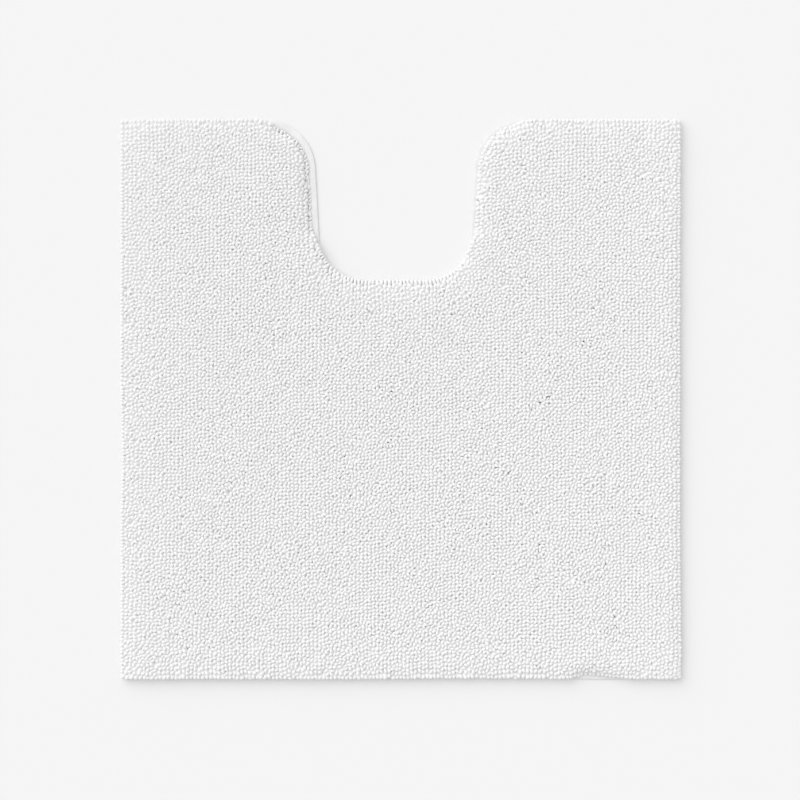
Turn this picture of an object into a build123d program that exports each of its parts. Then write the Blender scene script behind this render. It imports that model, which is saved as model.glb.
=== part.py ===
from build123d import *
import os

# A square contour bath mat with a U-shaped cutout for the foot of a toilet. Millimetres.
# The origin is the middle of the underside. +Z is up, and the cutout opens towards +Y, the back.

# Outline
mat_width = 610
mat_depth = 610
corner_radius = 5

# Cutout: its two straight walls lean apart towards the back edge
cutout_centre_x = -6
cutout_mouth_width = 178  # between the walls, where their lines meet the back edge
cutout_inner_width = 161  # between the walls, where their lines meet the inner end
cutout_reach = 174  # from the back edge to the inner end
mouth_radius = 55
inner_radius = 50

# Layers, from the floor up
coat_thickness = 0.6
cloth_thickness = 0.9
binding_thickness = 0.6
pile_height = 11

# Binding: a tape folded over the edge
binding_under_width = 8
binding_over_width = 8

# Pile: it overhangs the binding on the straight edges and leaves a margin bare in the cutout
bare_wall_margin = 6
bare_inner_margin = 0.5
pile_rim_radius = 4

# Seams: one thread above the binding and one below, each sunk in a groove
seam_inset = 6.8  # from the edge of the mat to the middle of the thread
thread_width = 0.6
groove_depth = 0.3
thread_recess = 0.05  # from the surface of the binding down to the thread

# Care label, sewn flat under the mat at both ends and pressed into the coat
label_length = 45
label_width = 25
label_thickness = 0.3
label_x = -245
label_y = -265
label_seam_inset = 3

# Worked out from the dimensions above
edge_x = mat_width / 2
edge_y = mat_depth / 2
cloth_top = coat_thickness + cloth_thickness
binding_top = cloth_top + binding_thickness
pile_top = cloth_top + pile_height
join_x = edge_x - binding_under_width  # where a side binding meets the front and back ones
cutout_left_join = cutout_centre_x - cutout_mouth_width / 2 - mouth_radius
cutout_right_join = cutout_centre_x + cutout_mouth_width / 2 + mouth_radius


def near(sketch, points):
    """The corners of the sketch that lie at the given points."""
    tolerance = 0.01
    return [
        corner
        for corner in sketch.vertices()
        if any((corner.center() - Vector(*point)).length < tolerance for point in points)
    ]


def outline(wall_margin=0, inner_margin=0):
    """The mat seen from above, with its cutout widened by the margins."""
    mouth_half = cutout_mouth_width / 2 + wall_margin
    inner_half = cutout_inner_width / 2 + wall_margin
    inner_y = edge_y - cutout_reach - inner_margin
    mouth = [(cutout_centre_x + side * mouth_half, edge_y) for side in (-1, 1)]
    inner = [(cutout_centre_x + side * inner_half, inner_y) for side in (-1, 1)]
    corners = [(x, y) for x in (-edge_x, edge_x) for y in (-edge_y, edge_y)]
    cutout = make_face(Polyline(mouth[0], inner[0], inner[1], mouth[1], close=True))
    sketch = Rectangle(mat_width, mat_depth) - cutout
    sketch = fillet(near(sketch, corners), corner_radius)
    sketch = fillet(near(sketch, inner), inner_radius)
    return fillet(near(sketch, mouth), mouth_radius - wall_margin)


def inset(sketch, distance):
    """The sketch with its whole edge moved inwards."""
    return offset(sketch, amount=-distance, kind=Kind.INTERSECTION)


def layer(sketch, bottom, thickness):
    """A flat layer of the sketch's shape."""
    return Pos(0, 0, bottom) * extrude(sketch, thickness)


def stretch(solid, low_x, high_x, low_y, high_y):
    """The part of the solid that lies between these limits, at any height."""
    tall = 4 * pile_top
    block = Pos((low_x + high_x) / 2, (low_y + high_y) / 2, 0) * Box(high_x - low_x, high_y - low_y, tall)
    return solid & block


def slab(x, y, bottom, length, width, thickness):
    """A flat block with its middle at x and y and its underside at that height."""
    return Pos(x, y, bottom + thickness / 2) * Box(length, width, thickness)


def make_label():
    """The care label and the two threads across its ends."""
    label = slab(label_x, label_y, thread_recess, label_length, label_width, label_thickness)
    reach = label_length / 2 - label_seam_inset
    depth = label_thickness / 2
    threads = [
        slab(label_x + side * reach, label_y, thread_recess, thread_width, label_width, depth)
        for side in (-1, 1)
    ]
    for thread in threads:
        label -= thread
    return label, threads


def make_coat(edge):
    """The latex coat, which ends at the binding, with a shallow pocket for the label."""
    pocket = slab(label_x, label_y, 0, label_length, label_width, thread_recess + label_thickness)
    return layer(inset(edge, binding_under_width), 0, coat_thickness) - pocket


def make_pile(edge):
    """The looped pile: a foot inside the binding and a rounded body that overhangs it."""
    foot = layer(inset(edge, binding_over_width), cloth_top, binding_thickness)
    body = layer(outline(bare_wall_margin, bare_inner_margin), binding_top, pile_top - binding_top)
    rim = body.edges().group_by(Axis.Z)[-1]
    return fillet(rim, pile_rim_radius) + foot


def make_binding_ring(edge, threads_groove):
    """The whole folded binding round the mat, before it is cut into lengths."""
    block = layer(edge, 0, binding_top)
    under_opening = layer(inset(edge, binding_under_width), 0, coat_thickness)
    cloth_slot = layer(inset(edge, binding_thickness), coat_thickness, cloth_thickness)
    over_opening = layer(inset(edge, binding_over_width), cloth_top, binding_thickness)
    return block - under_opening - cloth_slot - over_opening - threads_groove


def seam_strip(edge):
    """The line of the seam, seen from above."""
    half = thread_width / 2
    return inset(edge, seam_inset - half) - inset(edge, seam_inset + half)


def write(name, shape):
    """One STEP file for one node."""
    solids = shape if isinstance(shape, list) else shape.solids()
    export_step(Compound(children=solids, label=name), f"parts/{name}.step")


# Each length of binding, as low x, high x, low y and high y
lengths = {
    "left": (-edge_x, -join_x, -edge_y, edge_y),
    "right": (join_x, edge_x, -edge_y, edge_y),
    "front": (-join_x, join_x, -edge_y, 0),
    "back_left": (-join_x, cutout_left_join, 0, edge_y),
    "cutout": (cutout_left_join, cutout_right_join, 0, edge_y),
    "back_right": (cutout_right_join, join_x, 0, edge_y),
}

os.makedirs("parts", exist_ok=True)

mat_edge = outline()
seam = seam_strip(mat_edge)
upper_groove_bottom = binding_top - groove_depth
grooves = layer(seam, 0, groove_depth) + layer(seam, upper_groove_bottom, groove_depth)
thread_height = groove_depth - thread_recess
lower_thread = layer(seam, thread_recess, thread_height)
upper_thread = layer(seam, upper_groove_bottom, thread_height)
ring = make_binding_ring(mat_edge, grooves)

write("backing_cloth", layer(inset(mat_edge, binding_thickness), coat_thickness, cloth_thickness))
write("latex_coat", make_coat(mat_edge))
write("loop_pile", make_pile(mat_edge))

for name, limits in lengths.items():
    write(f"binding_{name}", stretch(ring, *limits))
    write(f"seam_{name}", stretch(lower_thread + upper_thread, *limits))

care_label, label_threads = make_label()
write("care_label", care_label)
write("label_seam", label_threads)
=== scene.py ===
import math

import bpy
import numpy as np
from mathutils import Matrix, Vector, geometry, kdtree


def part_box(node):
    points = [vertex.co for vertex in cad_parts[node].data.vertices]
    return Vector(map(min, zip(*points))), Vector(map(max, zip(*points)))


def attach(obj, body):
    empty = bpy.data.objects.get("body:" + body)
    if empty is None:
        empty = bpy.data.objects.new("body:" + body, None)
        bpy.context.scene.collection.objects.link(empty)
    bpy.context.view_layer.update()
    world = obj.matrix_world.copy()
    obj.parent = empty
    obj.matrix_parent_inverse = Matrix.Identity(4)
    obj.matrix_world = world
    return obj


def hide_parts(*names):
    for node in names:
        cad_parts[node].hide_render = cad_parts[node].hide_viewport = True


# A square white cotton contour bath mat: looped pile on a woven cloth, with a latex coat underneath
# and a narrow cotton binding folded over the edge. Metres, in the CAD model's frame.

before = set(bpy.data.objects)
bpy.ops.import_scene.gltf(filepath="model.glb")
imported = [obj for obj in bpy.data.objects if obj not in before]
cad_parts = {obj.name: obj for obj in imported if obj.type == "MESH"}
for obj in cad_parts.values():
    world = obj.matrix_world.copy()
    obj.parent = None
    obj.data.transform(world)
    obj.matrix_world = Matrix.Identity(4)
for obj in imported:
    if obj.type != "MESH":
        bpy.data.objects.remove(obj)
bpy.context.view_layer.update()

# ---------------------------------------------------------------- sizes, from the frame
BODY = "root"
STRAIGHT = ("left", "right", "front", "back_left", "back_right")
pile_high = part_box("loop_pile")[1]
cloth_low, cloth_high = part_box("backing_cloth")
binding_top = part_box("binding_left")[1].z
cutout_low, cutout_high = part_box("binding_cutout")
label_low, label_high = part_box("care_label")

edge_x = pile_high.x
edge_y = pile_high.y
binding_under_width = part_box("binding_left")[1].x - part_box("binding_left")[0].x
inner_y = cutout_low.y + binding_under_width
cutout_x = (cutout_low.x + cutout_high.x) / 2

# The cutout's rounds and the parts of the binding that a box can't give
mouth_radius = 0.055
inner_radius = 0.050
inner_half_width = 0.0805
corner_radius = 0.005
binding_over_width = 0.008
seam_inset = 0.0068
groove_depth = 0.0003
mouth_half_width = (cutout_high.x - cutout_low.x) / 2 - mouth_radius

# ---------------------------------------------------------------- pile
GAUGE = 0.00421  # between the columns of loops, which run along Y
STITCH = 0.00388  # between the loops of a column
ROW_TILT = 0.07  # rise of a row per metre across
ROOT_INSET = 0.0070  # of the outermost roots from the edge of the mat
CROWN_GAP = 0.0018  # from the outer end of the pile to the middle of the outermost crowns
RAGGED = 0.0007  # how unevenly the outermost crowns line up
EDGE_REACH = 0.03  # how far in from an edge the loops still lean towards it
UNREST = 0.0012  # how far crowns wander from their place in the grid
WANTED = 0.0040  # distance that crowns keep from each other
FILL = 0.825  # share of the distance to its neighbours that a crown's width takes up
LONG = 1.06  # the same for its length
SIDES = 8  # faces round the yarn
LOOPS_PER_BAND = 1400
PATCH = 0.0011  # between the spots by which the crowns even out


def smoothstep(low, high, value):
    """0 below low, 1 above high, and smooth between them."""
    t = np.clip((value - low) / (high - low), 0, 1)
    return t * t * (3 - 2 * t)


def unit(vectors):
    """The same directions with a length of 1."""
    return vectors / np.linalg.norm(vectors, axis=-1, keepdims=True)


def smooth_field(seed, wavelength, waves=24):
    """A smooth random field over the mat, as a function of x and y, mostly between -1 and 1."""
    random = np.random.default_rng(seed)
    heading = random.uniform(0, 2 * np.pi, waves)
    turn = 2 * np.pi / (wavelength * random.uniform(0.7, 1.6, waves))
    phase = random.uniform(0, 2 * np.pi, waves)
    across, along = turn * np.cos(heading), turn * np.sin(heading)

    def field(x, y):
        angle = np.multiply.outer(x, across) + np.multiply.outer(y, along) + phase
        return np.sin(angle).sum(-1) / math.sqrt(waves)

    return field


# ---------------------------------------------------------------- outline
STEP = 0.001  # between the points of a ring

# The corners of the mat, anticlockwise from the front left, before rounding
corners = np.array(
    [
        (-edge_x, -edge_y),
        (edge_x, -edge_y),
        (edge_x, edge_y),
        (cutout_x + mouth_half_width, edge_y),
        (cutout_x + inner_half_width, inner_y),
        (cutout_x - inner_half_width, inner_y),
        (cutout_x - mouth_half_width, edge_y),
        (-edge_x, edge_y),
    ]
)
radii = [corner_radius] * 3 + [mouth_radius, inner_radius, inner_radius, mouth_radius, corner_radius]


def ring(inset):
    """Points round the mat, at that distance inside its edge. Equal indices of two rings face each other."""
    ahead = unit(np.roll(corners, -1, axis=0) - corners)
    inward = np.stack([-ahead[:, 1], ahead[:, 0]], axis=1)
    back = -np.roll(ahead, 1, axis=0)
    both = inward + np.roll(inward, 1, axis=0)
    moved = corners + inset * both / (both * inward).sum(1, keepdims=True)
    arcs = []
    for corner, to_back, to_ahead, radius in zip(moved, back, ahead, radii):
        convex = math.copysign(1, to_ahead[0] * to_back[1] - to_ahead[1] * to_back[0])
        half = math.acos(to_back @ to_ahead) / 2
        sweep = math.pi - 2 * half
        steps = max(8, round(radius * sweep / STEP))
        tight = max(radius - convex * inset, 0.0002)
        centre = corner + unit(to_back + to_ahead) * tight / math.sin(half)
        spoke = corner + to_back * tight / math.tan(half) - centre
        turn = convex * np.linspace(0, sweep, steps)
        c, s = np.cos(turn), np.sin(turn)
        arcs.append(centre + np.stack([c * spoke[0] - s * spoke[1], s * spoke[0] + c * spoke[1]], axis=1))
    points = []
    next_corners = np.roll(corners, -1, axis=0)
    for arc, following, corner, after in zip(arcs, arcs[1:] + arcs[:1], corners, next_corners):
        steps = round(np.linalg.norm(after - corner) / STEP)
        share = np.linspace(0, 1, steps + 1)[1:-1, None]
        points += [arc, arc[-1] + share * (following[0] - arc[-1])]
    return np.concatenate(points)


def outward(path):
    """The outward normal at each point of a closed path that runs anticlockwise."""
    along = unit(np.roll(path, -1, axis=0) - np.roll(path, 1, axis=0))
    return np.stack([along[:, 1], -along[:, 0]], axis=1)


outline = ring(0)
outline_normal = outward(outline)
outline_tree = kdtree.KDTree(len(outline))
for index, point in enumerate(outline):
    outline_tree.insert((*point, 0), index)
outline_tree.balance()


def nearest_edge(x, y):
    """For each point, how far inside the outline it lies, and the outward direction there."""
    found = np.array([outline_tree.find((a, b, 0))[1] for a, b in zip(x, y)])
    normal = outline_normal[found]
    gap = outline[found] - np.stack([x, y], axis=1)
    far = np.linalg.norm(gap, axis=1)
    return np.where((gap * normal).sum(1) < 0, -far, far), normal


def stretch(node):
    """The places of the outline, in order, that the length of binding of that name covers."""
    low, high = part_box(node)
    slack = 0.0006
    x, y = outline[:, 0], outline[:, 1]
    within = (x > low.x - slack) & (x < high.x + slack) & (y > low.y - slack) & (y < high.y + slack)
    start = int(np.argmax(within & ~np.roll(within, 1)))
    return (start + np.arange(within.sum())) % len(outline)


def bare(x, y):
    """1 where the binding shows as a smooth margin, in the mouth and walls of the cutout, and 0 elsewhere."""
    in_walls = smoothstep(inner_y + 0.026, inner_y + 0.060, y)
    from_middle = np.abs(x - cutout_x)
    in_mouth = 1 - smoothstep(mouth_half_width + 0.036, mouth_half_width + 0.060, from_middle)
    return in_walls * in_mouth


def inner_end(x, y):
    """1 at the inner end of the cutout, where the loops fan out over the edge, and 0 elsewhere."""
    near_y = smoothstep(inner_y - 0.030, inner_y - 0.020, y)
    near_y *= 1 - smoothstep(inner_y + 0.015, inner_y + 0.050, y)
    return near_y * (1 - smoothstep(0.070, 0.105, np.abs(x - cutout_x)))


# ---------------------------------------------------------------- how the mat lies
wander_x = smooth_field(11, 0.30)
wander_y = smooth_field(12, 0.30)


def settle(x, y):
    """Where a point of the mat lies once it is put down by hand: its edges wander by about a millimetre."""
    drawn_in = 0.0026 * np.exp(-(((y + 0.06) / 0.065) ** 2)) * (1 - smoothstep(-edge_x, -edge_x + 0.12, x))
    return x + 0.0007 * wander_x(x, y) + drawn_in, y + 0.0004 * wander_y(x, y)


def settled(points):
    """The same for an array of points with three coordinates."""
    moved = np.array(points, float)
    moved[..., 0], moved[..., 1] = settle(points[..., 0], points[..., 1])
    return moved


# ---------------------------------------------------------------- meshes
def make_piece(name, vertices, faces, material):
    """A smooth-shaded piece that rides on the mat. faces is a list of arrays, each with its own face size."""
    mesh = bpy.data.meshes.new(name)
    sizes = np.concatenate([np.full(len(block), block.shape[1]) for block in faces])
    corners = np.concatenate([block.ravel() for block in faces])
    mesh.vertices.add(len(vertices))
    mesh.vertices.foreach_set("co", np.ascontiguousarray(vertices, np.float32).ravel())
    mesh.loops.add(len(corners))
    mesh.loops.foreach_set("vertex_index", corners.astype(np.int32))
    mesh.polygons.add(len(sizes))
    starts = np.concatenate([[0], np.cumsum(sizes)[:-1]])
    mesh.polygons.foreach_set("loop_start", starts.astype(np.int32))
    mesh.update(calc_edges=True)
    mesh.shade_smooth()
    mesh.materials.append(material)
    piece = bpy.data.objects.new(name, mesh)
    bpy.context.scene.collection.objects.link(piece)
    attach(piece, BODY)
    return piece


def tube_faces(count, rings, sides):
    """Quads and end caps for count tubes, each with that many rings of sides points."""
    tube = np.arange(count)[:, None, None] * rings * sides
    ring = np.arange(rings - 1)[None, :, None] * sides
    side = np.arange(sides)[None, None, :]
    after = (side + 1) % sides
    low, high = tube + ring, tube + ring + sides
    quads = np.stack([low + side, low + after, high + after, high + side], axis=-1).reshape(-1, 4)
    starts = np.arange(count)[:, None] * rings * sides
    first = starts + np.arange(sides)[::-1]
    last = starts + (rings - 1) * sides + np.arange(sides)
    return [quads, np.concatenate([first, last])]


def tubes(centres, across, radius, sides, flatten=0.0, twist=None):
    """Vertices of tubes along centres, an array of tube, ring and xyz. across is a direction square to
    each tube's plane. flatten makes the section oval, and twist turns the oval at each ring."""
    along = unit(np.gradient(centres, axis=1))
    across = unit(across - (across * along).sum(-1, keepdims=True) * along)
    up = np.cross(along, across)
    angle = np.arange(sides) * 2 * np.pi / sides
    turn = angle[None, None, :] if twist is None else angle[None, None, :] - twist[..., None]
    size = radius[..., None] * (1 + flatten * np.cos(2 * turn))
    c, s = np.cos(angle), np.sin(angle)
    spoke = across[:, :, None, :] * c[:, None] + up[:, :, None, :] * s[:, None]
    return centres[:, :, None, :] + spoke * size[..., None]


# ---------------------------------------------------------------- materials
def new_material(name, roughness, sheen=0.0):
    """A material, its Principled shader and its node tree."""
    material = bpy.data.materials.new(name)
    material.use_nodes = True
    tree = material.node_tree
    shader = tree.nodes["Principled BSDF"]
    shader.inputs["Roughness"].default_value = roughness
    shader.inputs["Specular IOR Level"].default_value = 0.25
    shader.inputs["Sheen Weight"].default_value = sheen
    shader.inputs["Sheen Roughness"].default_value = 0.6
    return material, shader, tree


def add_node(tree, kind, **settings):
    """A node of that kind, with its inputs and properties set by name."""
    made = tree.nodes.new(kind)
    for name, value in settings.items():
        if name in made.inputs:
            made.inputs[name].default_value = value
        else:
            setattr(made, name, value)
    return made


def mottled_colour(tree, shader, vector, scale, dark, light):
    """Base colour that drifts between two tones."""
    noise = add_node(tree, "ShaderNodeTexNoise", Scale=scale, Detail=3.0, Roughness=0.6)
    ramp = tree.nodes.new("ShaderNodeValToRGB")
    ramp.color_ramp.elements[0].position, ramp.color_ramp.elements[0].color = 0.3, (*dark, 1)
    ramp.color_ramp.elements[1].position, ramp.color_ramp.elements[1].color = 0.7, (*light, 1)
    tree.links.new(vector, noise.inputs["Vector"])
    tree.links.new(noise.outputs["Fac"], ramp.inputs["Fac"])
    tree.links.new(ramp.outputs["Color"], shader.inputs["Base Color"])


def fibre_bump(tree, shader, vector, scale, strength, distance):
    """The fine fuzz of spun cotton."""
    noise = add_node(tree, "ShaderNodeTexNoise", Scale=scale, Detail=4.0, Roughness=0.7)
    bump = add_node(tree, "ShaderNodeBump", Strength=strength, Distance=distance)
    tree.links.new(vector, noise.inputs["Vector"])
    tree.links.new(noise.outputs["Fac"], bump.inputs["Height"])
    tree.links.new(bump.outputs["Normal"], shader.inputs["Normal"])
    return bump


def yarn_material():
    """White spun cotton yarn."""
    material, shader, tree = new_material("cotton_yarn", 0.95, sheen=0.25)
    place = tree.nodes.new("ShaderNodeTexCoord").outputs["Object"]
    mottled_colour(tree, shader, place, 90, (0.80, 0.80, 0.80), (0.85, 0.85, 0.85))
    fibre_bump(tree, shader, place, 1600, 0.5, 0.0003)
    return material


def cloth_material(name, dark, light):
    """Plain woven cotton: two crossed sets of threads."""
    material, shader, tree = new_material(name, 0.9, sheen=0.15)
    place = tree.nodes.new("ShaderNodeTexCoord").outputs["Object"]
    mottled_colour(tree, shader, place, 60, dark, light)
    bump = add_node(tree, "ShaderNodeBump", Strength=0.6, Distance=0.0002)
    height = add_node(tree, "ShaderNodeMath", operation="MAXIMUM")
    for i, axis in enumerate("XY"):
        wave = add_node(tree, "ShaderNodeTexWave", Scale=550.0, bands_direction=axis, wave_profile="SIN")
        tree.links.new(place, wave.inputs["Vector"])
        tree.links.new(wave.outputs["Fac"], height.inputs[i])
    tree.links.new(height.outputs[0], bump.inputs["Height"])
    tree.links.new(bump.outputs["Normal"], shader.inputs["Normal"])
    return material


def latex_material():
    """Sprayed latex, with the ribs of the stitched yarn showing through it."""
    material, shader, tree = new_material("latex", 0.55)
    place = tree.nodes.new("ShaderNodeTexCoord").outputs["Object"]
    mottled_colour(tree, shader, place, 35, (0.74, 0.72, 0.66), (0.82, 0.80, 0.74))
    ribs = 2 * math.pi / 20 / GAUGE
    rib = add_node(tree, "ShaderNodeTexWave", Scale=ribs, bands_direction="X", Distortion=1.5)
    rib.inputs["Detail Scale"].default_value = 0.4
    blob = add_node(tree, "ShaderNodeTexVoronoi", Scale=1 / STITCH)
    height = add_node(tree, "ShaderNodeMath", operation="SUBTRACT")
    bump = add_node(tree, "ShaderNodeBump", Strength=0.7, Distance=0.0006)
    tree.links.new(place, rib.inputs["Vector"])
    tree.links.new(place, blob.inputs["Vector"])
    tree.links.new(rib.outputs["Fac"], height.inputs[0])
    tree.links.new(blob.outputs["Distance"], height.inputs[1])
    tree.links.new(height.outputs[0], bump.inputs["Height"])
    tree.links.new(bump.outputs["Normal"], shader.inputs["Normal"])
    return material


def satin_material():
    """Woven label satin: fine ribs with a soft gloss."""
    material, shader, tree = new_material("label_satin", 0.38, sheen=0.1)
    place = tree.nodes.new("ShaderNodeTexCoord").outputs["Object"]
    mottled_colour(tree, shader, place, 200, (0.84, 0.84, 0.83), (0.90, 0.90, 0.89))
    rib = add_node(tree, "ShaderNodeTexWave", Scale=900.0, bands_direction="Y")
    bump = add_node(tree, "ShaderNodeBump", Strength=0.4, Distance=0.0001)
    tree.links.new(place, rib.inputs["Vector"])
    tree.links.new(rib.outputs["Fac"], bump.inputs["Height"])
    tree.links.new(bump.outputs["Normal"], shader.inputs["Normal"])
    return material


yarn = yarn_material()
binding_cloth = cloth_material("binding_cloth", (0.78, 0.78, 0.78), (0.84, 0.84, 0.84))
backing_weave = cloth_material("backing_weave", (0.80, 0.79, 0.76), (0.86, 0.85, 0.82))
thread = cloth_material("thread", (0.86, 0.86, 0.85), (0.92, 0.92, 0.91))
latex = latex_material()
satin = satin_material()


# ---------------------------------------------------------------- pile loops
def parting(x, y):
    """1 where the loops of the front edge part and the binding shows, and 0 elsewhere."""
    along = smoothstep(0.180, 0.200, x) * (1 - smoothstep(0.203, 0.262, x))
    return along * (1 - smoothstep(0.012 - edge_y, 0.025 - edge_y, y))


def pile_end(x, y):
    """How far inside the edge of the mat the pile ends, seen from above."""
    rounding = 0.0014 * smoothstep(edge_y - 0.060, edge_y - 0.030, y)
    margin = bare(x, y) * np.where(x < cutout_x, 0.0062 + rounding, 0.0042)
    front = 0.0006 * (1 - smoothstep(0.012 - edge_y, 0.025 - edge_y, y))
    return margin + front + 0.0032 * parting(x, y)


def packing(x, y):
    """How much tighter the loops stand: 0 in the middle of the mat, and up to 1 towards its edges."""
    left, right, front, back = x + edge_x, edge_x - x, y + edge_y, edge_y - y
    sides = 0.55 * np.exp(-left / 0.07) + 0.45 * np.exp(-right / 0.05)
    return np.minimum(sides + 0.25 * np.exp(-front / 0.04) + 0.65 * np.exp(-back / 0.12), 1)


def push_apart(x, y, present, wanted, ease):
    """Moves the crowns of a grid that are nearer to each other than wanted."""
    push_x, push_y = np.zeros_like(x), np.zeros_like(y)
    for i, j in ((0, 1), (1, 0), (1, 1), (1, -1), (2, 0), (0, 2)):
        other = np.s_[i:, max(j, 0) : y.shape[1] + min(j, 0)]
        mine = np.s_[: x.shape[0] - i, max(-j, 0) : y.shape[1] - max(j, 0)]
        across, along = x[other] - x[mine], y[other] - y[mine]
        far = np.sqrt(across**2 + along**2) + 1e-9
        push = ease * np.maximum(wanted - far, 0) / far * (present[other] & present[mine])
        push_x[other] += push * across
        push_y[other] += push * along
        push_x[mine] -= push * across
        push_y[mine] -= push * along
    return x + push_x, y + push_y


def edge_pull(x, y, depth, normal, reach):
    """Unit directions towards near edges, times how strongly each pulls: 1 at the outermost roots. In an
    outer corner both edges pull."""
    pull = normal * np.exp(-np.maximum(depth - ROOT_INSET, 0) / reach)[..., None]
    to_sides = np.stack([edge_x - np.abs(x), edge_y - np.abs(y)], axis=-1)
    both = np.exp(-np.maximum(to_sides - ROOT_INSET, 0) / reach) * np.sign(np.stack([x, y], axis=-1))
    return np.where((to_sides.max(-1) < 0.10)[..., None], both, pull)


def pile_layout():
    """Each loop's root, its crown, and how far its root is inside the row of outermost roots."""
    columns = np.linspace(-edge_x + ROOT_INSET, edge_x - ROOT_INSET, round(2 * edge_x / GAUGE) - 2)
    rows = np.arange(-edge_y + ROOT_INSET, edge_y - ROOT_INSET, STITCH)
    x, y = np.meshgrid(columns, rows, indexing="ij")
    random = np.random.default_rng(21)
    phase = ROW_TILT * columns / STITCH + np.cumsum(random.normal(0, 0.09, len(columns)))
    y = y + STITCH * np.mod(phase, 1)[:, None]
    depth, normal = nearest_edge(x.ravel(), y.ravel())
    depth, normal = depth.reshape(x.shape), normal.reshape(*x.shape, 2)
    inset = ROOT_INSET + 0.0020 * inner_end(x, y) + 0.0026 * bare(x, y)
    inside = depth - inset
    present = inside > -1e-6
    outermost = present & (inside < 0.98 * STITCH)
    to_side_x, to_side_y = edge_x - np.abs(x), edge_y - np.abs(y)
    first_x = outermost & (to_side_x < inset + 1e-6)
    first_y = outermost & (to_side_y < inset + 0.98 * STITCH) & (np.abs(normal[..., 1]) > 0.9999)
    corner = present & (np.maximum(to_side_x, to_side_y) < inset + 0.98 * STITCH)

    # Crowns lean towards a near edge, wander, and then make room for each other.
    lean = (inset - pile_end(x, y) - CROWN_GAP)[..., None] * edge_pull(x, y, depth, normal, EDGE_REACH)
    unrest = UNREST * (0.95 + 0.35 * smooth_field(35, 0.09)(x, y)).clip(0.5, 1.4)
    ragged = random.normal(0, RAGGED, x.shape)
    crown_x = x + lean[..., 0] + 0.0004 * smooth_field(31, 0.020)(x, y)
    crown_y = y + lean[..., 1] + 0.0004 * smooth_field(32, 0.020)(x, y)
    crown_x += 0.6 * unrest * random.normal(0, 1, x.shape)
    crown_y += 1.5 * unrest * random.normal(0, 1, x.shape)
    near = present & (inside < 0.012)
    on_curve = (outermost & ~(first_x | first_y | corner))[near]
    for _ in range(12):
        crown_x, crown_y = push_apart(crown_x, crown_y, present, WANTED, 0.22)
        crown_depth, crown_normal = nearest_edge(crown_x[near], crown_y[near])
        least = pile_end(crown_x[near], crown_y[near]) + CROWN_GAP + ragged[near]
        shift = np.where(on_curve, crown_depth - least, np.minimum(crown_depth - least - 0.0026, 0))
        crown_x[near] += crown_normal[:, 0] * shift
        crown_y[near] += crown_normal[:, 1] * shift
        back = pile_end(crown_x, crown_y) + CROWN_GAP + ragged
        reach_x, reach_y = edge_x - back, edge_y - back
        crown_x = np.where(first_x | corner, np.sign(x) * reach_x, crown_x)
        crown_y = np.where(first_y | corner, np.sign(y) * reach_y, crown_y)
    return [values[present] for values in (x, y, crown_x, crown_y, inside)]


def crown_tree(x, y):
    """A tree of the crowns, seen from above."""
    tree = kdtree.KDTree(len(x))
    for index, point in enumerate(zip(x, y)):
        tree.insert((*point, 0), index)
    tree.balance()
    return tree


def even_out(x, y, ease):
    """Moves each crown towards the middle of the patch of the mat that lies nearest to it."""
    random = np.random.default_rng(24)
    across, along = np.arange(-edge_x, edge_x, PATCH), np.arange(-edge_y, edge_y, PATCH)
    spots = np.stack(np.meshgrid(across, along), axis=-1)
    spots = (spots + random.uniform(0, PATCH, spots.shape)).reshape(-1, 2)
    spots = spots[nearest_edge(*spots.T)[0] > pile_end(*spots.T)]
    tree = crown_tree(x, y)
    owner = np.array([tree.find((*spot, 0))[1] for spot in spots])
    owned = np.bincount(owner, minlength=len(x))
    middle = [np.bincount(owner, spots[:, axis], len(x)) / np.maximum(owned, 1) for axis in (0, 1)]
    step = ease * (owned > 3)
    return x + step * (middle[0] - x), y + step * (middle[1] - y)


def crown_neighbours(x, y):
    """Offsets from each crown to those nearest to it. The end of the pile acts as a mirror."""
    tree = crown_tree(x, y)
    found = np.array([[near[1] for near in tree.find_n((*point, 0), 11)] for point in zip(x, y)])[:, 1:]
    offsets = np.stack([x[found] - x[:, None], y[found] - y[:, None]], axis=-1)
    depth, normal = nearest_edge(x, y)
    mirrored = 2 * (depth - pile_end(x, y))[:, None] * normal
    return np.concatenate([offsets, mirrored[:, None]], axis=1)


def room(offsets, direction, most):
    """How far each crown can spread that way and the opposite way before it meets a neighbour halfway."""
    ahead = (offsets * direction[:, None]).sum(-1)
    half = (offsets**2).sum(-1) / 2
    return [(half / np.maximum(way * ahead, 1e-6)).min(-1).clip(0.0008, most) for way in (1, -1)]


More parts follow.
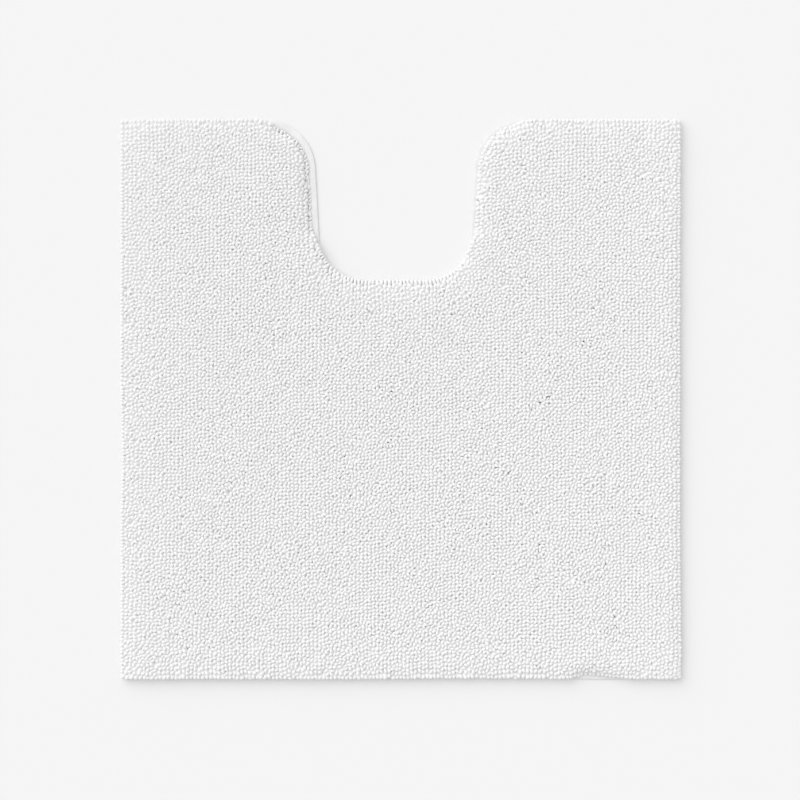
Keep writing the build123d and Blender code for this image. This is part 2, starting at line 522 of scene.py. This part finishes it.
def loop_shapes():
    """The centre lines of all loops, a direction square to each loop's plane, and the yarn's radius."""
    x, y, crown_x, crown_y, inside = pile_layout()
    random = np.random.default_rng(22)
    count = len(x)
    inside = np.maximum(inside, 0)

    crown_x, crown_y = even_out(crown_x, crown_y, 0.4 + 0.4 * np.exp(-inside / 0.010))
    offsets = crown_neighbours(crown_x, crown_y)

    # The plane of a loop runs along the longer way across its room, or square to a near edge.
    headings = np.arange(8) * np.pi / 8
    drift = smooth_field(33, 0.018)(x, y)
    liking = []
    for angle in headings:
        length = sum(room(offsets, np.tile([math.cos(angle), math.sin(angle)], (count, 1)), 0.0028))
        habit = 0.05 * np.cos(2 * (angle - np.radians(62) - 0.5 * drift))
        liking.append(length * (1 + habit + random.normal(0, 0.08, count)))
    heading = headings[np.argmax(liking, axis=0)]
    lean = np.stack([crown_x - x, crown_y - y], axis=1)
    edge_heading = np.arctan2(lean[:, 1], lean[:, 0])
    turn = np.mod(edge_heading - heading + np.pi / 2, np.pi) - np.pi / 2
    fan = inner_end(x, y) * np.exp(-((inside / 0.005) ** 2))
    near_edge = np.exp(-((inside / 0.004) ** 2)) * smoothstep(0.001, 0.003, np.linalg.norm(lean, axis=1))
    heading = heading + turn * np.maximum(0.35 * near_edge, fan)
    direction = np.stack([np.cos(heading), np.sin(heading)], axis=1)
    across = np.stack([-direction[:, 1], direction[:, 0]], axis=1)

    # Loops stand lower where they lean, and much lower beside a margin where the binding shows.
    tall = pile_high.z - cloth_high.z - 0.0003 + 0.00020 * smooth_field(34, 0.12)(x, y)
    tall += random.normal(0, 0.0002, count) * (1 - 0.6 * packing(x, y))
    tall = np.sqrt(tall**2 - (0.5 * np.linalg.norm(lean, axis=1)) ** 2)
    tall *= 1 - 0.26 * smoothstep(-0.2, 0.2, x - y) * np.exp(-inside / 0.006)
    behind_end = np.maximum(nearest_edge(crown_x, crown_y)[0] - pile_end(crown_x, crown_y) - CROWN_GAP, 0)
    gentle = np.where(x < cutout_x, 1, 0.5) * bare(x, y)
    parted = parting(x, y)
    slope = 0.003 + 0.006 * gentle + 0.004 * parted
    tall *= 1 - np.maximum(0.82 * gentle, 0.66 * parted) * np.exp(-behind_end / slope)
    tall *= 1 - 0.25 * inner_end(x, y) * np.exp(-behind_end / 0.005)

    # A crown fills the room between its neighbours.
    packed = packing(crown_x, crown_y)
    close = np.sort(np.linalg.norm(offsets[:, :-1], axis=-1), axis=1)[:, :3].mean(1) / 2
    radius = (FILL * (1 + 0.15 * packed) * close).clip(0.0010, 0.0024)
    radius = np.minimum(radius, 0.45 * tall)
    left, right = room(offsets, across, 0.0031)
    ahead, behind = room(offsets, direction, 0.0040)
    radius += fan * (0.85 * (left + right) / 2 - radius)
    behind = behind + 0.0030 * fan
    spread = np.maximum(LONG * (ahead + behind) / 2 - radius, 0.0002)
    lean += across * (left - right)[:, None] / 2 + direction * (ahead - behind)[:, None] / 2
    rise = np.minimum(spread, 0.6 * (tall - radius))

    # A loop from foot to foot: two legs and an arch over them. The legs are thicker where they are packed.
    arch = np.radians([0, 0, 15, 52, 90, 128, 165, 180, 180])
    height = np.array([-0.03, 0.84, 1, 1, 1, 1, 1, 0.84, -0.03])
    swell = np.array([0.55, 0.82, 0.05, 0, 0, 0, 0.05, 0.82, 0.55])
    swell = swell * (1 - ((0.30 + 0.45 * bare(x, y)) * np.exp(-inside / 0.003))[:, None])
    shoulder = (tall - radius - rise)[:, None] * height
    centres = np.empty((count, len(height), 3))
    bend = np.maximum(height, 0) ** 1.5
    along = np.cos(arch) * spread[:, None]
    centres[..., 0] = x[:, None] + direction[:, :1] * along + lean[:, :1] * bend
    centres[..., 1] = y[:, None] + direction[:, 1:] * along + lean[:, 1:] * bend
    centres[..., 2] = cloth_high.z + shoulder + np.sin(arch) * rise[:, None]
    across = np.column_stack([across, np.zeros(count)])
    radius = radius[:, None] * (1 + swell)
    return centres, np.repeat(across[:, None, :], len(height), axis=1), radius


def make_pile():
    """All loops, in bands of neighbouring columns."""
    centres, across, radius = loop_shapes()
    random = np.random.default_rng(23)
    count, rings = centres.shape[:2]
    twist = random.uniform(0, np.pi, (count, 1)) + np.arange(rings) * 0.6
    vertices = settled(tubes(centres, across, radius, SIDES, flatten=0.06, twist=twist))
    vertices[..., 2] = np.maximum(vertices[..., 2], cloth_low.z + 0.0001)  # the feet end inside the cloth
    bands = math.ceil(count / LOOPS_PER_BAND)
    pieces = []
    for band, picked in enumerate(np.array_split(np.arange(count), bands)):
        faces = tube_faces(len(picked), rings, SIDES)
        points = vertices[picked].reshape(-1, 3)
        pieces.append(make_piece(f"pile_band_{band + 1:02d}", points, faces, yarn))
    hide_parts("loop_pile")
    return pieces


# ---------------------------------------------------------------- binding
RIB_PITCH = 0.0033  # between the ribs across the tape


def binding_profile():
    """The folded tape's section: distance inside the edge of the mat, and height. It has a groove above
    and below, where the seam draws it in."""
    low, high = 0.0, binding_top
    inner_low, inner_high = cloth_low.z, cloth_high.z
    fold = binding_top / 2
    groove = [(seam_inset + d, g) for d, g in ((0.0006, 0), (0.0002, 1), (-0.0002, 1), (-0.0006, 0))]
    above = [(inset, high - g * groove_depth) for inset, g in groove]
    below = [(inset, low + g * groove_depth) for inset, g in reversed(groove)]
    round_edge = [
        (fold - fold * math.cos(angle), fold + fold * math.sin(angle))
        for angle in np.linspace(math.pi / 2, -math.pi / 2, 9)
    ]
    outer = [(binding_over_width, high), *above, (0.0036, high), (0.0022, high), *round_edge]
    outer += [(0.0022, low), (0.0036, low), *below, (binding_under_width, low)]
    inner = [(binding_under_width, inner_low), (0.0030, inner_low), (0.0016, inner_low)]
    inner += [(0.0008, 0.4 * inner_low + 0.6 * fold), (0.0008, fold + 0.0002)]
    inner += [(0.0016, inner_high), (0.0030, inner_high), (binding_over_width, inner_high)]
    return np.array(outer + inner)


def make_bindings():
    """One folded tape along each stretch of the edge. Its top is ribbed across by its whipped edge."""
    profile = binding_profile()
    rings = np.stack([ring(inset) for inset in profile[:, 0]], axis=1)
    uneven = smooth_field(41, 0.016)
    on_top = profile[:, 1] > 0.9 * binding_top
    pieces = []
    for name in (*STRAIGHT, "cutout"):
        node = f"binding_{name}"
        picked = stretch(node)
        vertices = np.empty((len(picked), len(profile), 3))
        vertices[..., :2] = rings[picked]
        vertices[..., 2] = profile[:, 1]
        place = picked[:, None] * STEP + 0.9 * profile[None, on_top, 0]
        ribs = 0.00009 * np.sin(2 * np.pi * place / RIB_PITCH)
        vertices[:, on_top, 2] += ribs + 0.00012 * uneven(*outline[picked].T)[:, None]
        faces = tube_faces(1, len(picked), len(profile))
        points = settled(vertices).reshape(-1, 3)
        piece = make_piece(f"{node}_tape", points, faces, binding_cloth)
        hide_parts(node)
        pieces.append(piece)
    return pieces


# ---------------------------------------------------------------- seams
def stitches(path, heights, pitch, length, radius):
    """Tubes for a row of stitches along a path, once at each height. Their ends dip into the cloth."""
    travel = np.concatenate([[0], np.cumsum(np.linalg.norm(np.diff(path, axis=0), axis=1))])
    starts = np.arange(0.3 * pitch, travel[-1] - length, pitch)
    share = np.linspace(0, 1, 6)
    places = starts[:, None] + length * share
    x, y = (np.interp(places, travel, path[:, axis]) for axis in (0, 1))
    blocks = []
    for height, towards in heights:
        z = height + towards * 0.4 * radius * np.sin(np.pi * share) - towards * 0.4 * radius
        centres = np.stack([x, y, np.broadcast_to(z, x.shape)], axis=-1)
        along = unit(np.gradient(centres, axis=1))
        across = np.stack([-along[..., 1], along[..., 0], np.zeros_like(x)], axis=-1)
        sizes = np.broadcast_to(radius * np.array([0.6, 0.95, 1, 1, 0.95, 0.6]), x.shape)
        blocks.append(tubes(centres, across, sizes, 6))
    return np.concatenate(blocks)


def make_seams():
    """Lockstitches in the grooves of each length of binding, above and below."""
    path = ring(seam_inset)
    radius = 0.00024
    upper = binding_top - groove_depth + 1.1 * radius
    lower = groove_depth - 0.9 * radius
    pieces = []
    for name in (*STRAIGHT, "cutout"):
        node = f"seam_{name}"
        picked = stretch(f"binding_{name}")
        vertices = stitches(path[picked], ((upper, 1), (lower, -1)), 0.0030, 0.0025, radius)
        faces = tube_faces(len(vertices), vertices.shape[1], vertices.shape[2])
        piece = make_piece(f"{node}_stitches", settled(vertices).reshape(-1, 3), faces, thread)
        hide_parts(node)
        pieces.append(piece)
    return pieces


# ---------------------------------------------------------------- flat layers
def layer(rim, spacing, extra=()):
    """Points and triangles that fill a closed rim, with points about that far apart."""
    low, high = rim.min(0), rim.max(0)
    steps = [np.arange(a, b, spacing) for a, b in zip(low, high)]
    grid = np.stack(np.meshgrid(*steps), axis=-1).reshape(-1, 2)
    rim_depth = nearest_edge(*rim.T)[0].max()
    grid = grid[nearest_edge(*grid.T)[0] > rim_depth + 0.6 * spacing]
    points = [Vector(point) for point in np.concatenate([rim, grid, *extra])]
    loop = [(i, (i + 1) % len(rim)) for i in range(len(rim))]
    found, _, faces, *_ = geometry.delaunay_2d_cdt(points, loop, [], 1, 1e-7)
    return np.array([tuple(point) for point in found]), np.array([face for face in faces if len(face) == 3])


def closed_sheet(points, triangles, bottom, top):
    """A closed sheet from one layer of triangles, as vertices and faces."""
    count = len(points)
    vertices = np.concatenate([np.column_stack([points, bottom]), np.column_stack([points, top])])
    edges = np.concatenate([triangles[:, [0, 1]], triangles[:, [1, 2]], triangles[:, [2, 0]]])
    keys = {tuple(edge) for edge in edges.tolist()}
    rim = np.array([edge for edge in edges.tolist() if (edge[1], edge[0]) not in keys])
    side = np.column_stack([rim[:, 0], rim[:, 1], rim[:, 1] + count, rim[:, 0] + count])
    return vertices, [triangles[:, ::-1], triangles + count, side]


def make_backing():
    """The woven cloth that the pile is tufted through."""
    points, triangles = layer(ring(0.0012)[::4], 0.006)
    wave = 0.00006 * smooth_field(51, 0.02)(*points.T)
    low, high = cloth_low.z + 0.00008, cloth_high.z - 0.00008
    vertices, faces = closed_sheet(points, triangles, low + wave, high + wave)
    piece = make_piece("backing_weave", settled(vertices), faces, backing_weave)
    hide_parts("backing_cloth")
    return piece


def make_coat():
    """The latex coat, drawn in a little along its rim, with a shallow pocket over the label."""
    inset = binding_under_width + 0.0002
    pocket = []
    for grow in (0.0004, 0.0016):
        across = np.linspace(label_low.x - grow, label_high.x + grow, 25)
        along = np.linspace(label_low.y - grow, label_high.y + grow, 15)
        between = along[1:-1]
        pocket += [np.column_stack([across, np.full(len(across), y)]) for y in (along[0], along[-1])]
        pocket += [np.column_stack([np.full(len(between), x), between]) for x in (across[0], across[-1])]
    points, triangles = layer(ring(inset)[::4], 0.004, pocket)
    x, y = points.T
    outside_x = np.maximum(label_low.x - x, x - label_high.x)
    outside_y = np.maximum(label_low.y - y, y - label_high.y)
    over_label = 1 - smoothstep(0.0005, 0.0015, np.maximum(outside_x, outside_y))
    bottom = 0.00005 + 0.00005 * smooth_field(52, 0.012)(x, y).clip(-1, 1)
    bottom = np.maximum(bottom, over_label * (label_high.z + 0.00005))
    vertices, faces = closed_sheet(points, triangles, bottom, np.full(len(x), cloth_low.z))
    piece = make_piece("latex_backing", settled(vertices), faces, latex)
    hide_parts("latex_coat")
    return piece


def make_label():
    """A blank label, sewn down at both ends, with the stitches that hold it."""
    x = np.linspace(label_low.x, label_high.x, 31)
    y = np.linspace(label_low.y, label_high.y, 17)
    along, across = np.meshgrid(np.arange(len(x)), np.arange(len(y)), indexing="ij")
    points = np.stack([x[along], y[across]], axis=-1).reshape(-1, 2)
    corner = (along * len(y) + across)[:-1, :-1].ravel()
    opposite = corner + len(y) + 1
    halves = [[corner, corner + len(y), opposite], [corner, opposite, corner + 1]]
    triangles = np.concatenate([np.column_stack(half) for half in halves])
    wave = 0.00003 * smooth_field(53, 0.009)(*points.T).clip(-1, 1)
    low, high = label_low.z + 0.00004, label_high.z - 0.00004
    vertices, faces = closed_sheet(points, triangles, low + wave, high + wave)
    label = make_piece("blank_label", settled(vertices), faces, satin)
    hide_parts("care_label")
    seam_distance = 0.003
    rows = []
    for row_x in (label_low.x + seam_distance, label_high.x - seam_distance):
        path = np.stack([np.full(30, row_x), np.linspace(label_low.y, label_high.y, 30)], axis=1)
        rows.append(stitches(path, ((0.00022, -1),), 0.0025, 0.0021, 0.0002))
    rows = np.concatenate(rows)
    faces = tube_faces(len(rows), rows.shape[1], rows.shape[2])
    seam = make_piece("label_stitches", settled(rows).reshape(-1, 3), faces, thread)
    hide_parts("label_seam")
    return label, seam


# ---------------------------------------------------------------- stage, light and camera
def make_stage():
    """A plain pale floor."""
    mesh = bpy.data.meshes.new("floor")
    reach = 6.0
    rim = [(-reach, -reach, 0), (reach, -reach, 0), (reach, reach, 0), (-reach, reach, 0)]
    mesh.from_pydata(rim, [], [(0, 1, 2, 3)])
    floor = bpy.data.objects.new("floor", mesh)
    bpy.context.scene.collection.objects.link(floor)
    material, shader, _ = new_material("floor_paint", 0.9)
    shader.inputs["Base Color"].default_value = (0.806, 0.806, 0.806, 1)
    shader.inputs["Specular IOR Level"].default_value = 0.0
    mesh.materials.append(material)


def make_light():
    """A soft sun from the upper left of the view from above, and an even bright sky."""
    sun = bpy.data.lights.new("soft_key", "SUN")
    sun.energy = 1.77
    sun.angle = math.radians(70)
    lamp = bpy.data.objects.new("soft_key", sun)
    towards = Vector((0.62, -0.62, -0.80))
    lamp.rotation_mode = "QUATERNION"
    lamp.rotation_quaternion = towards.to_track_quat("-Z", "Y")
    bpy.context.scene.collection.objects.link(lamp)
    world = bpy.data.worlds.new("room")
    world.use_nodes = True
    world.node_tree.nodes["Background"].inputs["Color"].default_value = (1, 1, 1, 1)
    world.node_tree.nodes["Background"].inputs["Strength"].default_value = 0.755
    bpy.context.scene.world = world


def make_camera():
    """Straight above the mat, with +Y up in the picture."""
    data = bpy.data.cameras.new("camera")
    data.lens = 85
    data.sensor_width = 36
    view_width = 0.8697
    mat_plane = 0.008
    camera = bpy.data.objects.new("camera", data)
    camera.location = (-0.0007, -0.0005, mat_plane + view_width * data.lens / data.sensor_width)
    bpy.context.scene.collection.objects.link(camera)
    bpy.context.scene.camera = camera


make_stage()
make_light()
make_camera()
bpy.context.scene.view_settings.view_transform = "Standard"

pile = make_pile()
bindings = make_bindings()
seams = make_seams()
backing = make_backing()
coat = make_coat()
label, label_seam = make_label()

# The cloth's flat area is its square less the cutout.
x, y = ring(0.0012).T
